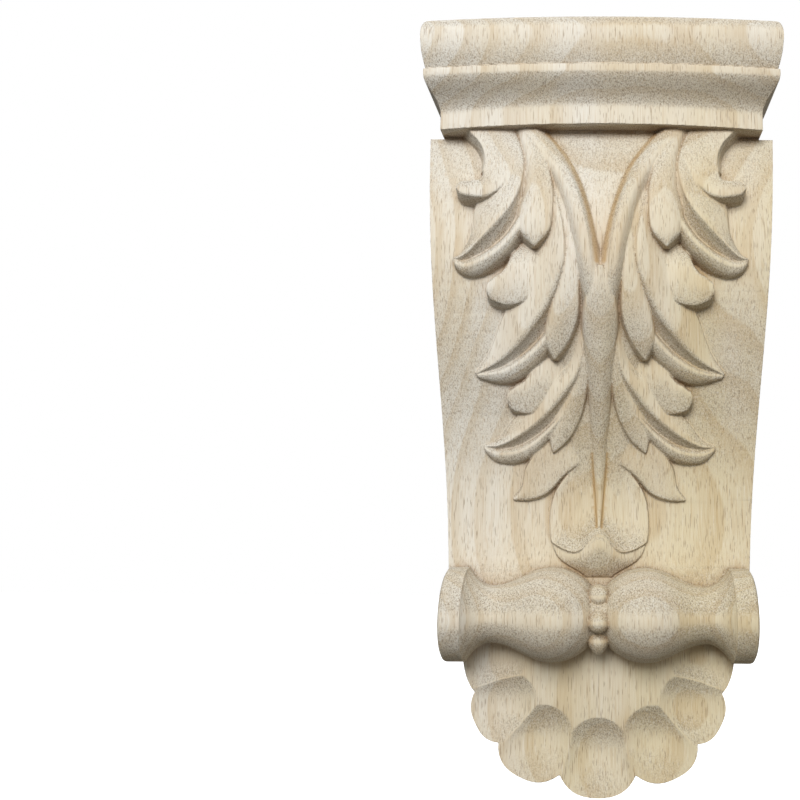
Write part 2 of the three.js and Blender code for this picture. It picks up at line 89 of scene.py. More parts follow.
# %% Light and floor
def soft_lamp(name, place, aim, size, watts, colour):
    """Adds a square area lamp at a place in metres, turned towards a point."""
    bpy.ops.object.light_add(type="AREA", location=place)
    lamp = bpy.context.object
    lamp.name = name
    lamp.data.size = size
    lamp.data.energy = watts
    lamp.data.color = colour
    towards = [a - p for a, p in zip(aim, place)]
    lamp.rotation_euler = (
        math.atan2(math.hypot(towards[0], towards[1]), -towards[2]),
        0.0,
        math.atan2(-towards[0], towards[1]),
    )


DAYLIGHT, WARM_LIGHT = (1.0, 0.995, 0.985), (1.0, 0.93, 0.8)
soft_lamp("key_light", place=(-0.2, -1.04, 0.64), aim=(0, 0, 0), size=0.62, watts=13.4, colour=DAYLIGHT)
soft_lamp("warm_fill", place=(0.9, -0.8, -0.1), aim=(0, 0, -0.05), size=0.8, watts=1.0, colour=WARM_LIGHT)

SURROUND_BELOW, SURROUND_ABOVE = 0.08, 0.56
SURROUND_FROM, SURROUND_TO = -0.5, 0.8
WARM_BELOW, COOL_ABOVE, WHITE = (1.0, 0.86, 0.68, 1.0), (0.96, 0.985, 1.0, 1.0), (1.0, 1.0, 1.0, 1.0)
# Sockets of a Mix node for colours: the factor, the two colours, and the colour that comes out.
MIX_FACTOR, MIX_FIRST, MIX_SECOND, MIX_RESULT = 0, 6, 7, 2
world = bpy.data.worlds.new("white_surround")
bpy.context.scene.world = world
world.use_nodes = True
sky = world.node_tree.nodes
wires = world.node_tree.links
around = sky.new("ShaderNodeTexCoord")
up = sky.new("ShaderNodeSeparateXYZ")
wires.new(around.outputs["Generated"], up.inputs["Vector"])
level = sky.new("ShaderNodeMapRange")
level.inputs["From Min"].default_value = SURROUND_FROM
level.inputs["From Max"].default_value = SURROUND_TO
wires.new(up.outputs["Z"], level.inputs["Value"])


def surround_mix(factor, low, high):
    """A colour between two others, each a fixed colour or a socket."""
    blend = sky.new("ShaderNodeMix")
    blend.data_type = "RGBA"
    wires.new(factor, blend.inputs[MIX_FACTOR])
    for slot, value in ((MIX_FIRST, low), (MIX_SECOND, high)):
        if isinstance(value, tuple):
            blend.inputs[slot].default_value = value
        else:
            wires.new(value, blend.inputs[slot])
    return blend.outputs[MIX_RESULT]


dim_below = tuple(SURROUND_BELOW * channel for channel in WARM_BELOW)
dim_above = tuple(SURROUND_ABOVE * channel for channel in COOL_ABOVE)
around_light = surround_mix(level.outputs["Result"], dim_below, dim_above)
seen = sky.new("ShaderNodeLightPath")
wires.new(surround_mix(seen.outputs["Is Camera Ray"], around_light, WHITE), sky["Background"].inputs["Color"])
bpy.context.scene.view_settings.view_transform = "Standard"

FLOOR_LEVEL, FLOOR_SIZE = -0.6, 8.0
FLOOR_GREY = (0.9, 0.9, 0.9, 1.0)
bpy.ops.mesh.primitive_plane_add(size=FLOOR_SIZE, location=(0, 0, FLOOR_LEVEL))
floor = bpy.context.object
floor.name = "floor"
bpy.ops.object.transform_apply()
pale = bpy.data.materials.new("pale_floor")
pale.use_nodes = True
paint = pale.node_tree.nodes["Principled BSDF"]
paint.inputs["Base Color"].default_value = FLOOR_GREY
paint.inputs["Roughness"].default_value = 0.9
paint.inputs["Emission Color"].default_value = WHITE
path = pale.node_tree.nodes.new("ShaderNodeLightPath")
pale.node_tree.links.new(path.outputs["Is Camera Ray"], paint.inputs["Emission Strength"])
floor.data.materials.append(pale)
floor.visible_diffuse = False
print("two lamps, a white surround and a floor at", FLOOR_LEVEL, "m")

# %% [markdown]
# ## How the carving is built up
# A carver cuts the forms out of one block. Here each form is laid on as a closed shape that sinks into the
# board, and at the end all of them are fused by a voxel remesh, which also rounds every edge and inner corner
# a little, as sanding does. Lists of a few knots are eased into smooth curves, so a leaf is a handful of
# short lists, not a thousand points.

# %% Curves through knots
def eased(values, t):
    """Values at evenly spaced knots, read as a smooth curve at t from 0 to 1."""
    values = np.asarray(values, float)
    u = np.clip(np.asarray(t, float), 0, 1) * (len(values) - 1)
    i = np.minimum(len(values) - 2, u.astype(int))
    f = u - i
    if values.ndim == 2:
        f = f[..., None]

    def at(k):
        return values[np.clip(k, 0, len(values) - 1)]

    m0 = (at(i + 1) - at(i - 1)) / 2
    m1 = (at(i + 2) - at(i)) / 2
    rise = 3 * f**2 - 2 * f**3
    return (1 - rise) * at(i) + (f**3 - 2 * f**2 + f) * m0 + rise * at(i + 1) + (f**3 - f**2) * m1


def mix(a, b, t):
    return a + (b - a) * t


def smoothstep(t):
    t = np.clip(t, 0, 1)
    return t * t * (3 - 2 * t)


def deselect():
    """Leaves edit mode and selects nothing, so that the next operator acts on its own piece alone."""
    if bpy.context.object and bpy.context.object.mode != "OBJECT":
        bpy.ops.object.mode_set(mode="OBJECT")
    bpy.ops.object.select_all(action="DESELECT")


carved = []

# %% [markdown]
# Most forms are rows of sections. A flat grid is added, each of its rows is moved onto one section, the seam
# where the sheet meets itself is merged, and the two open ends are filled. That is a loft, done with a grid.

# %% A grid rolled into a closed form
SEAM_GAP = 1e-7


def rolled_grid(name, sections):
    """A closed shape through an array of sections in mm, indexed by row, point and axis."""
    rows, around = sections.shape[:2]
    deselect()
    bpy.ops.mesh.primitive_grid_add(x_subdivisions=around, y_subdivisions=rows - 1, size=1)
    form = bpy.context.object
    form.name = name
    sheet = np.concatenate([sections, sections[:, :1]], axis=1) * MM
    form.data.vertices.foreach_set("co", sheet.reshape(-1))
    form.data.update()
    bpy.ops.object.mode_set(mode="EDIT")
    bpy.ops.mesh.select_all(action="SELECT")
    bpy.ops.mesh.remove_doubles(threshold=SEAM_GAP)
    bpy.ops.mesh.fill_holes(sides=0)
    bpy.ops.mesh.select_all(action="SELECT")
    bpy.ops.mesh.normals_make_consistent(inside=False)
    bpy.ops.object.mode_set(mode="OBJECT")
    carved.append(form)
    return form


def mirrored(form):
    """Copies a form of the right-hand side to the left with a Mirror modifier."""
    mirror = form.modifiers.new("mirror", "MIRROR")
    mirror.use_axis[0] = True
    mirror.use_mirror_merge = False
    bpy.context.view_layer.objects.active = form
    bpy.ops.object.modifier_apply(modifier=mirror.name)


print("a grid rolls into a closed form, and a mirror gives the other side")

# %% [markdown]
# ## The board
# The board narrows towards its foot, and its front swells at the leaves and hollows above the roll: one wave.
# Every height of the relief is measured from this front. A hidden join ties the board's top to the cap, so
# that the flat back has no gap there.

# %% Board
TOP = 150.0
CAP_UNDERSIDE = 107.0
ROLL_Z = -82.9
BOARD_TOP_HALF, BOARD_TOP_Z = 70.0, 106.0
BOARD_FOOT_HALF, BOARD_FOOT_Z = 58.2, -66.0
JOIN_HALF, JOIN_DEPTH = 64.0, 14.8
OVERLAP = 1.0
FRONT_MEAN, FRONT_SWING = 14.05, 7.45
FRONT_CREST_Z, FRONT_HALF_WAVE = 60.0, 105.0


def front(z):
    return FRONT_MEAN + FRONT_SWING * np.cos(math.pi * (FRONT_CREST_Z - z) / FRONT_HALF_WAVE)


def on_front(x, z, h):
    """Points of the relief at a height above the board's front, as an array with x, y and z."""
    x, z, h = np.broadcast_arrays(x, z, h)
    return np.stack([x, -(front(z) + h), z], axis=-1)


def block(name, levels, half, depth):
    """A block on the back plane, from levels with a half width and a depth each."""
    levels, half, depth = (np.reshape(row, (-1, 1)) for row in np.broadcast_arrays(levels, half, depth))
    side, proud = np.array([-1, -1, 1, 1]), np.array([0, 1, 1, 0])
    rolled_grid(name, np.stack([half * side, -depth * proud, np.repeat(levels, 4, axis=1)], axis=-1))


BOARD_STEPS = 90
levels = np.linspace(ROLL_Z, BOARD_TOP_Z, BOARD_STEPS)
half = mix(BOARD_FOOT_HALF, BOARD_TOP_HALF, (levels - BOARD_FOOT_Z) / (BOARD_TOP_Z - BOARD_FOOT_Z))
block("board", levels, half, front(levels))
block("join", [BOARD_TOP_Z - OVERLAP, CAP_UNDERSIDE + OVERLAP], JOIN_HALF, JOIN_DEPTH)
hollow, crest = front(FRONT_CREST_Z - FRONT_HALF_WAVE), front(FRONT_CREST_Z)
print("board front from", round(hollow, 1), "to", round(crest, 1), "mm deep")

# %% [markdown]
# ## The cap moulding
# The cap is one moulding swept round a bowed plan: a plain fascia, a cove, a thin fillet and a full torus.
# The plan is drawn once, and each level moves it out by what the moulding stands proud there.

# %% Cap
FASCIA_HALF, CAP_MIDDLE = 64.8, 26.4
FASCIA_BOW, TORUS_BOW, TOP_BOW = 5.0, 3.8, 2.8
FASCIA_TOP, COVE_TOP, FILLET_TOP = 113.0, 126.5, 129.0
FILLET_OUT, TORUS_OUT, TORUS_TOP_OUT, TORUS_FOOT_OUT = 5.9, 7.2, 3.4, 5.1
COVE_BEND, TORUS_ROUND = 1.35, 2.2
TORUS_CREST_Z = 142.5
COVE_STEPS, TORUS_STEPS, BOW_STEPS = 24, 41, 61
STEP_BELOW = 0.02


def cap_out(z):
    """How far the moulding stands out past the fascia at a level."""
    cove = FILLET_OUT * smoothstep((z - FASCIA_TOP) / (COVE_TOP - FASCIA_TOP)) ** COVE_BEND
    below = mix(TORUS_OUT, TORUS_FOOT_OUT, ((TORUS_CREST_Z - z) / (TORUS_CREST_Z - FILLET_TOP)) ** 2)
    above = np.clip((z - TORUS_CREST_Z) / (TOP - TORUS_CREST_Z), 0, 1)
    rounded = mix(TORUS_TOP_OUT, TORUS_OUT, np.sqrt(1 - above**TORUS_ROUND))
    torus = np.where(z < TORUS_CREST_Z, below, rounded)
    return np.where(z <= COVE_TOP, cove, np.where(z < FILLET_TOP, FILLET_OUT, torus))


bends = (1 - np.cos(np.linspace(0, math.pi, TORUS_STEPS))) / 2
levels = np.concatenate(
    [
        [CAP_UNDERSIDE, (CAP_UNDERSIDE + FASCIA_TOP) / 2],
        np.linspace(FASCIA_TOP, COVE_TOP, COVE_STEPS),
        [FILLET_TOP - STEP_BELOW],
        mix(FILLET_TOP, TOP, bends),
    ]
)
out = cap_out(levels)[:, None]
s = np.linspace(-1, 1, BOW_STEPS)[None, :]
x = s * (FASCIA_HALF + out)
bow = np.interp(levels, [FASCIA_TOP, FILLET_TOP, TOP], [FASCIA_BOW, TORUS_BOW, TOP_BOW])[:, None]
depth = CAP_MIDDLE + out - bow * s * s
ends = np.array([[-1.0, 1.0]]) * (FASCIA_HALF + out)
x = np.concatenate([ends[:, :1], x, ends[:, 1:]], axis=1)
depth = np.pad(depth, ((0, 0), (1, 1)))
rolled_grid("cap", np.stack([x, -depth, np.broadcast_to(levels[:, None], x.shape)], axis=-1))
print("cap stands", round(float(depth.max()), 1), "mm out at its middle")

# %% [markdown]
# ## The roll and its beads
# The roll is turned work laid flat: a bulb on each side of a waist, a neck, a flare and an end band. Its
# outline is drawn as a line and spun round the roll's axis, and the part behind the back plane is cut away.

# %% Roll
ROLL_AXIS_DEPTH = 11.5
WAIST_R, BULB_R, NECK_R, FLARE, RIM_R = 10.6, 17.3, 10.4, 6.2, 17.2
WAIST_HALF, BULB_X, NECK_X, RIM_X, ROLL_HALF, RIM_ROUND = 3.0, 17.4, 40.6, 49.4, 57.6, 1.6
BULB_EASE = 0.85
TURNS, TURNED_GAP = 120, 1e-6


def roll_radius(x):
    """Radius of the roll at a distance from its middle."""
    bulb = (BULB_X - x) / (BULB_X - WAIST_HALF)
    neck = (x - BULB_X) / (NECK_X - BULB_X)
    over = np.clip((x - ROLL_HALF + RIM_ROUND) / RIM_ROUND, 0, 1)
    return np.select(
        [x <= WAIST_HALF, x <= BULB_X, x <= NECK_X, x < RIM_X],
        [
            np.full_like(x, WAIST_R),
            WAIST_R + (BULB_R - WAIST_R) * np.clip(1 - bulb**2, 0, 1) ** BULB_EASE,
            mix(BULB_R, NECK_R, 0.5 - 0.5 * np.cos(math.pi * neck)),
            NECK_R + FLARE * ((x - NECK_X) / (RIM_X - NECK_X)) ** 2,
        ],
        RIM_R - RIM_ROUND * (1 - np.sqrt(1 - over**2)),
    )


stations = np.concatenate(
    [
        mix(WAIST_HALF, BULB_X, 1 - np.cos(np.linspace(0, math.pi / 2, 20))),
        np.linspace(BULB_X, NECK_X, 26)[1:],
        np.linspace(NECK_X, RIM_X - STEP_BELOW / 2, 12)[1:],
        np.linspace(RIM_X, ROLL_HALF, 12),
    ]
)
line_x = np.concatenate([-stations[::-1], stations])
line_r = roll_radius(np.abs(line_x))
line = [(-ROLL_HALF, 0.0), *zip(line_x, line_r), (ROLL_HALF, 0.0)]
deselect()
profile = bpy.data.meshes.new("roll")
profile.from_pydata(
    [(px * MM, (-ROLL_AXIS_DEPTH - pr) * MM, ROLL_Z * MM) for px, pr in line],
    [(i, i + 1) for i in range(len(line) - 1)],
    [],
)
roll = bpy.data.objects.new("roll", profile)
bpy.context.collection.objects.link(roll)
bpy.context.view_layer.objects.active = roll
roll.select_set(True)
bpy.ops.object.mode_set(mode="EDIT")
bpy.ops.mesh.select_all(action="SELECT")
axis_point = (0, -ROLL_AXIS_DEPTH * MM, ROLL_Z * MM)
bpy.ops.mesh.spin(steps=TURNS, angle=2 * math.pi, center=axis_point, axis=(1, 0, 0))
bpy.ops.mesh.select_all(action="SELECT")
bpy.ops.mesh.remove_doubles(threshold=TURNED_GAP)
bpy.ops.mesh.normals_make_consistent(inside=False)
bpy.ops.mesh.bisect(plane_co=(0, 0, 0), plane_no=(0, 1, 0), use_fill=True, clear_outer=True)
bpy.ops.object.mode_set(mode="OBJECT")
carved.append(roll)
print("roll of", len(roll.data.vertices), "points")

# %% [markdown]
# The beads are balls set round the waist. Each has an angle round the roll, a radius and the length of its
# point: the lowest one is drawn out downwards like a drop.

# %% Beads at the waist
BEAD_OUT, BEAD_TAPER = 9.8, 0.2
BEADS = ((50, 4.2, 0.0), (-7, 4.1, 0.0), (-57, 4.3, 1.2))
for number, (angle, radius, point) in enumerate(BEADS):
    a = math.radians(angle)
    place = (0, -(ROLL_AXIS_DEPTH + BEAD_OUT * math.cos(a)) * MM, (ROLL_Z + BEAD_OUT * math.sin(a)) * MM)
    deselect()
    bpy.ops.mesh.primitive_uv_sphere_add(segments=40, ring_count=24, radius=radius * MM, location=place)
    bead = bpy.context.object
    bead.name = f"bead_{number}"
    bpy.ops.object.transform_apply()
    for vertex in bead.data.vertices:
        below = max(0.0, place[2] - vertex.co.z) / (radius * MM)
        vertex.co.x *= 1 - BEAD_TAPER * point * below**2
        vertex.co.z -= point * MM * below**3
    carved.append(bead)
print(len(BEADS), "beads")

# %% [markdown]
# ## The shell foot
# Seven gouge scoops ring a flat field. Each scoop drops steeply at its inner end, runs out to a rounded edge,
# and meets its neighbours in a sharp ridge that ends in a notch of the rim. The fan is built ray by ray. A
# plain backing closes the flat back behind the roll's waist and necks.

# %% Shell
SHELL_Z, SHELL_DEPTH = -93.0, 8.4
SHELL_NOTCHES = (16.2, 44.8, 67.4, 96.0)
SHELL_NOTCH_R = (50.8, 53.2, 50.9, 50.4)
SHELL_SWELL = (TOP + SHELL_Z - SHELL_NOTCH_R[0], 5.8, 3.9, 1.8)
GOUGE_ANGLES = (0.0, 30.5, 56.1, 81.7)
GOUGE_START = (28.0, 29.2, 30.0, 27.0)
GOUGE_DEPTH, GOUGE_END, GOUGE_HALF, GOUGE_OPENING = 3.2, 13.5, 12.2, 0.3
GOUGE_RUN_OUT, GOUGE_LEFT, GOUGE_RISE = 17.0, 0.9, 1.3
SHELL_FALL, FALL_START, FALL_RUN = 0.9, 24.0, 28.0
SCALLOP_SQUARE = 2.9
SCALLOP_RAYS, RAY_STEPS = 40, 80
BACKING_HALF, BACKING_FOOT_HALF, BACKING_DEPTH, BACKING_TIP = 50.0, 5.0, 8.3, 0.6


def gouged(r, angle):
    """Depth taken off the shell by the deepest of the seven gouge cuts at each point."""
    deepest = np.zeros_like(r)
    for turn, start in zip(GOUGE_ANGLES, GOUGE_START):
        for way in (-1, 1):
            away = math.radians(angle - way * turn)
            along_cut, off = r * math.cos(away) - start - GOUGE_END, r * math.sin(away)
            half_width = GOUGE_HALF + GOUGE_OPENING * np.maximum(0, along_cut)
            bowl = 1 - (off / half_width) ** 2 - (np.minimum(0, along_cut) / GOUGE_END) ** 2
            run_out = 1 - GOUGE_LEFT * (np.maximum(0, along_cut) / GOUGE_RUN_OUT) ** GOUGE_RISE
            deepest = np.maximum(deepest, GOUGE_DEPTH * bowl * run_out)
    return deepest


notch_angles = np.concatenate([-np.array(SHELL_NOTCHES)[::-1], SHELL_NOTCHES])
notch_radii = np.concatenate([np.array(SHELL_NOTCH_R)[::-1], SHELL_NOTCH_R])
swells = [SHELL_SWELL[abs(k)] for k in range(-3, 4)]
inwards = np.linspace(1, 0, RAY_STEPS)
rays = []
for k, swell in enumerate(swells):
    for f in np.arange(k > 0, SCALLOP_RAYS + 1) / SCALLOP_RAYS:
        angle = mix(notch_angles[k], notch_angles[k + 1], f)
        rim = mix(notch_radii[k], notch_radii[k + 1], f) + swell * (1 - abs(2 * f - 1) ** SCALLOP_SQUARE)
        r = rim * inwards
        d = SHELL_DEPTH - gouged(r, angle) - SHELL_FALL * smoothstep((r - FALL_START) / FALL_RUN)
        a = math.radians(angle)
        r = np.concatenate([[0, rim], r])
        d = np.concatenate([[0, 0], d])
        rays.append(np.stack([r * math.sin(a), -d, SHELL_Z - r * math.cos(a)], axis=-1))
rolled_grid("shell", np.array(rays))
backing_half = [BACKING_FOOT_HALF, BACKING_HALF, BACKING_HALF]
backing_levels = [SHELL_Z - BACKING_TIP, SHELL_Z + OVERLAP, ROLL_Z + OVERLAP]
block("backing", backing_levels, backing_half, BACKING_DEPTH)
print("shell of", len(swells), "scoops")

# %% [markdown]
# ## The leaves
# A leaf follows a curved spine. Its top is a row of points across the spine, each with a height above the
# board, and its walls lean out a little on the way down, as a carver's cut does. The sickle leaves have a
# blade that rises to a crest, a hollow behind the crest, and a rolled lip. The tongues between them are flat.

# %% Leaf tools
SINK, DRAFT = 3.0, 0.4
LEAF_STEPS, SICKLE_POINTS, TONGUE_POINTS, BRANCH_POINTS = 90, 51, 31, 61
TINY = 1e-6
TANGENT_STEP = 1e-3


def leaf(name, x, z, h):
    """A closed leaf from rows of points across its top, with leaning walls and a leaning tip."""

    def foot(edge, inner):
        dx, dz = x[:, edge] - x[:, inner], z[:, edge] - z[:, inner]
        run = DRAFT * (h[:, edge] + SINK) / np.maximum(TINY, np.hypot(dx, dz))
        return x[:, edge] + dx * run, z[:, edge] + dz * run

    first, last = foot(0, 1), foot(-1, -2)
    all_x = np.concatenate([first[0][:, None], x, last[0][:, None]], axis=1)
    all_z = np.concatenate([first[1][:, None], z, last[1][:, None]], axis=1)
    all_h = np.pad(h, ((0, 0), (1, 1)), constant_values=-SINK)
    return rolled_grid(name, on_front(all_x, all_z, all_h))


def along(spine, off, h):
    """Places rows of offsets across a spine. Positive offsets lie on the outer, upper side."""
    t = np.linspace(0, 1, len(off))
    at = eased(spine, t)
    step = eased(spine, t + TANGENT_STEP) - eased(spine, t - TANGENT_STEP)
    step /= np.hypot(step[:, 0], step[:, 1])[:, None]
    return at[:, :1] - step[:, 1:] * off, at[:, 1:] + step[:, :1] * off, h


def across(controls, points):
    """Eases the control offsets and heights of each section into a smooth row of points."""
    off = np.stack([np.broadcast_to(c[0], (LEAF_STEPS,)) for c in controls])
    h = np.stack([np.broadcast_to(c[1], (LEAF_STEPS,)) for c in controls])
    u = np.linspace(0, 1, points)
    return eased(off, u).T, eased(h, u).T


print("leaves have", LEAF_STEPS, "sections")

# %% [markdown]
# Each list below holds one size of a leaf from its root to its tip, at evenly spaced knots of the spine, for
# the right-hand side. A spine is a list of places x and z on the board.

# %% Sickle leaves
SICKLES = {
    "sickle_top": {
        "spine": [
            [37, 110], [31.4, 95], [31.6, 83], [35.1, 73.2],
            [40.5, 65.5], [47, 58.6], [53, 53.6], [57.4, 52.6],
        ],
        "blade": [14, 14, 14, 14, 11.5, 4.9, 1.9, 0.5],
        "crest": [6, 6.4, 6.8, 6.8, 6.4, 5.2, 3.4, 1.8],
        "edge": [4, 3.4, 3, 2.6, 2.2, 2, 1.6, 1.2],
        "drop": [0.8, 1.4, 2, 3, 3.7, 3, 1.4, 0.2],
        "lip": [4, 4, 5, 6.4, 7.6, 8.5, 7.4, 1.7],
        "lip_rise": [0.6, 0.8, 1.2, 2, 2.8, 2.6, 1.5, 0.2],
    },
    "sickle_middle": {
        "spine": [
            [25.4, 96], [18.6, 80], [15, 65], [14.6, 50],
            [19.5, 35.4], [28, 23], [38, 13.6], [48.4, 8.6],
        ],
        "blade": [1, 4, 8, 13, 14, 12.4, 7, 0.5],
        "crest": [5, 6.2, 7.6, 8.2, 7.3, 6, 4, 1.2],
        "edge": [4.8, 4.2, 3, 2.4, 1.8, 1.3, 0.9, 0.6],
        "drop": [0, 0.2, 0.9, 2.6, 3.1, 3.1, 1.8, 0.2],
        "lip": [0.8, 1.2, 2.4, 4.6, 6.6, 8.2, 7.8, 1.5],
        "lip_rise": [0, 0, 0.2, 1, 2, 2.5, 1.5, 0.2],
    },
    "sickle_low": {
        "spine": [
            [7.5, 32], [6.4, 20], [8.4, 8.7], [15, -1],
            [23, -9.5], [32, -15.9], [39.5, -19.2], [45.3, -19.3],
        ],
        "blade": [0.6, 3, 6, 10, 8.5, 6.2, 2.7, 0.4],
        "crest": [4.4, 6, 6.4, 5.8, 5, 4, 2.4, 0.9],
        "edge": [3.8, 3.8, 2.8, 2, 1.4, 0.9, 0.6, 0.4],
        "drop": [0.4, 0.8, 1.5, 2.2, 2.6, 2.4, 1.1, 0.2],
        "lip": [1, 2, 3, 4.4, 5.2, 7, 5.7, 1.3],
        "lip_rise": [0.2, 0.4, 0.8, 1.2, 1.6, 1.8, 1.1, 0.2],
    },
}
HOLLOW_SPREAD, HOLLOW_SHARE = 1.35, 0.95
t = np.linspace(0, 1, LEAF_STEPS)
for name, sizes in SICKLES.items():
    blade, crest, edge, drop, lip, rise = (
        eased(sizes[key], t) for key in ("blade", "crest", "edge", "drop", "lip", "lip_rise")
    )
    valley = crest - HOLLOW_SHARE * drop
    hollow = HOLLOW_SPREAD * drop
    lip = lip - (HOLLOW_SPREAD - 1) * drop
    section = [
        (blade, edge),
        (0.62 * blade, mix(edge, crest, 0.5)),
        (0.25 * blade, mix(edge, crest, 0.88)),
        (0 * blade, crest),
        (-0.35 * hollow, mix(valley, crest, 0.52)),
        (-0.7 * hollow, mix(valley, crest, 0.14)),
        (-hollow, valley),
        (-hollow - 0.2 * lip, valley + 0.8 * rise),
        (-hollow - 0.5 * lip, valley + rise),
        (-hollow - 0.8 * lip, valley + 0.6 * rise),
        (-hollow - lip, valley - 0.2 * rise),
    ]
    mirrored(leaf(name, *along(sizes["spine"], *across(section, SICKLE_POINTS))))
print(len(SICKLES), "sickle leaves on each side")

# %% Tongues
TONGUES = {
    "hook": {
        "spine": [
            [46, 113], [41.2, 103.5], [39, 94.5], [40.6, 85.6],
            [45.4, 81], [50.6, 80.2], [54.8, 80.8], [56.8, 80.9],
        ],
        "outer": [9.8, 7.6, 6.9, 6.2, 3.9, 3.4, 2.7, 0.6],
        "inner": [9, 7.2, 7.4, 4.6, 4.3, 3.5, 2.7, 0.6],
        "height": [6.6, 6.6, 6.6, 6.4, 6.4, 6.4, 6, 5.4],
        "fall": [0, 0],
        "crown": 0.6,
    },
    "inner_top": {
        "spine": [[32.5, 110], [26.7, 96], [24.6, 82], [24.6, 71], [25.2, 62], [25.4, 56]],
        "outer": [3, 4.3, 5.7, 7.4, 5.8, 0.3],
        "inner": [3, 3.8, 5.4, 5.9, 5.2, 0.3],
        "height": [7.2, 7.6, 8, 8.1, 7.8, 7],
        "fall": [1.6, 2.4, 3, 3, 1.8, 0.3],
        "crown": 0.5,
    },
    "round_middle": {
        "spine": [[20, 52], [28, 44.5], [35, 41], [40, 40], [43, 39.9], [43.9, 39.9]],
        "outer": [12, 11, 6.8, 4.8, 2.8, 0.5],
        "inner": [4, 7, 7, 5.1, 2.6, 0.5],
        "height": [3.2, 4.7, 5, 5, 4.8, 4.4],
        "fall": [1.4, 1.2, 0.6, 0.2, 0, 0],
        "crown": 0.4,
    },
    "inner_middle": {
        "spine": [[11.6, 68], [10.9, 55], [11.6, 43], [13.6, 30], [16.2, 19.6], [17.4, 13.2]],
        "outer": [1, 2.8, 4.6, 6, 4.6, 0.3],
        "inner": [1, 2, 3.4, 5, 3.6, 0.3],
        "height": [6.6, 8, 8.4, 8.2, 7.4, 6.4],
        "fall": [0.4, 1.4, 2, 2, 1, 0],
        "crown": 0.5,
    },
    "round_low": {
        "spine": [[13, 14], [20, 5], [26.5, 0.5], [32, -1], [35.2, -1], [36.1, -1]],
        "outer": [9, 8, 5.8, 4.4, 2.6, 0.5],
        "inner": [4, 5, 7, 5.4, 2.6, 0.5],
        "height": [2.6, 4.1, 4.2, 4, 3.6, 3.2],
        "fall": [1.2, 1, 0.6, 0.2, 0, 0],
        "crown": 0.3,
    },
    "inner_low": {
        "spine": [[5.6, 26], [5.8, 14], [7.6, 2.6], [11, -7.4], [15, -15.6], [18, -21.8]],
        "outer": [0.6, 1.8, 3.6, 5.4, 5, 0.3],
        "inner": [0.6, 1.4, 2.6, 3.6, 3, 0.3],
        "height": [5, 6.2, 6, 5.2, 4.4, 3.6],
        "fall": [0, 0.6, 1.2, 1.6, 0.8, 0],
        "crown": 0.4,
    },
    "last_lobe": {
        "spine": [[4, -8], [11, -19], [17.5, -27], [24, -33], [29, -37], [33.6, -40]],
        "outer": [6, 8, 9, 7, 2.2, 0.3],
        "inner": [5, 7, 5, 5.6, 3.6, 0.3],
        "height": [2.4, 2.4, 2.6, 2.3, 1.9, 1.2],
        "fall": [0, 0],
        "crown": 0.3,
    },
}
for name, sizes in TONGUES.items():
    outer, inner, high, fall = (eased(sizes[key], t) for key in ("outer", "inner", "height", "fall"))
    crown = sizes["crown"]
    section = [
        (outer, high - crown - fall),
        (0.8 * outer, high - 0.45 * crown - 0.6 * fall),
        (0.45 * outer, high - 0.15 * crown - 0.2 * fall),
        (0 * outer, high),
        (-0.5 * inner, high - 0.1 * crown),
        (-0.85 * inner, high - 0.45 * crown),
        (-inner, high - crown),
    ]
    mirrored(leaf(name, *along(sizes["spine"], *across(section, TONGUE_POINTS))))
print(len(TONGUES), "tongues on each side")

# %% [markdown]
# ## Stem, panel and bud
# The stem forks under the cap round a sunk panel. It is rounded on top, narrows on its way down, and runs out
# as a keel over the bud. A low mound under all of it lifts the middle of the board. The bud is a dished petal
# that ends in a lip with a peak.

# %% Mound and panel
SPREAD_POINTS = 25
MOUND_FOOT, MOUND_FALL = -38.0, 0.7
FORK_FOOT = 54.0
PANEL_TOP_H, PANEL_FOOT_H = 4.4, 6.0


def spread(sides, half_width, z, height):
    """Rows of points straight across the board, for the forms on the middle line."""
    return np.outer(half_width, sides), np.repeat(z[:, None], len(sides), axis=1), height


sides = np.linspace(1, -1, SPREAD_POINTS)
level_across = np.ones(SPREAD_POINTS)
mound_half = eased([40, 32, 22, 19, 18, 16, 11], t)
mound_high = eased([5.2, 5.6, 6, 5.6, 4.4, 3.4, 1.4], t)
mound_z = mix(CAP_UNDERSIDE + OVERLAP, MOUND_FOOT, t)
leaf("mound", *spread(sides, mound_half, mound_z, np.outer(mound_high, 1 - MOUND_FALL * sides**4)))

panel_half = eased([30, 17, 9, 4.4, 2], t)
panel_z = mix(CAP_UNDERSIDE + OVERLAP, FORK_FOOT, t)
panel_top = np.outer(mix(PANEL_TOP_H, PANEL_FOOT_H, t), level_across)
leaf("fork_panel", *spread(sides, panel_half, panel_z, panel_top))
print("mound and panel laid")

# %% [markdown]
# A branch of the fork has a rounded crest, a soft outer shoulder down to the valley beside the leaves, and a
# steep inner wall down to its foot at the panel. The two branches meet in the stalk, which fills the cut
# between them from its top on.

